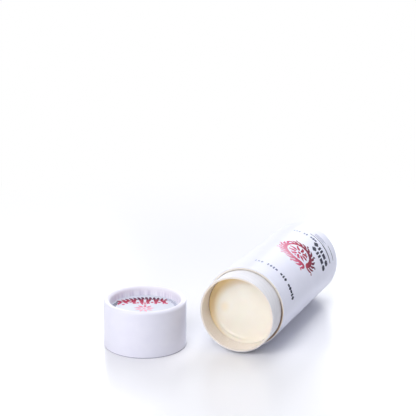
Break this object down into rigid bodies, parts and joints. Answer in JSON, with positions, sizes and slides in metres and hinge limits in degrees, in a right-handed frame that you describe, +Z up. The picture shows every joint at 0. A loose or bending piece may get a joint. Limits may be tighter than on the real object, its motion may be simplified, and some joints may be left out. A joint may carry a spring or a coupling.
{
  "type": "balm stick",
  "caption": "Push-up paper tube of body balm lying on its side, neck open over the pale balm, with its rolled-rim cap standing beside it.",
  "frame": {"origin": "on the surface that the tube and the cap stand on, under the middle of the whole set's box", "axes": "+Z up; the tube lies along Y with its open neck towards -Y and its base towards +Y; the cap stands on its open edge at the -X side of the neck"},
  "size_m": [0.0896, 0.1264, 0.042],
  "materials": {
    "printed_wrap": "satin",
    "cap_paper": "satin",
    "neck_paper": "satin",
    "lining_paper": "satin",
    "raw_board": "matte",
    "disc_board": "matte",
    "label_paper": "gloss",
    "balm": "satin"
  },
  "bodies": {
    "tube": {"outer_tube": "raw_board", "label_wrap": "printed_wrap", "neck_tube": "raw_board", "neck_paper": "neck_paper", "greaseproof_lining": "lining_paper"},
    "stick": {"push_disc": "disc_board", "balm": "balm"},
    "cap": {"cap_tube": "raw_board", "cap_wrap": "cap_paper", "cap_disc": "raw_board", "cap_label": "label_paper"}
  },
  "joints": [
    {"name": "push_up", "type": "slide", "parent": "tube", "child": "stick", "axis": [0, -1, 0], "range_m": [0, 0.089]},
    {"name": "cap_lift", "type": "slide", "parent": "tube", "child": "cap", "axis": [0, 0, 1], "range_m": [0, 0.06]}
  ]
}
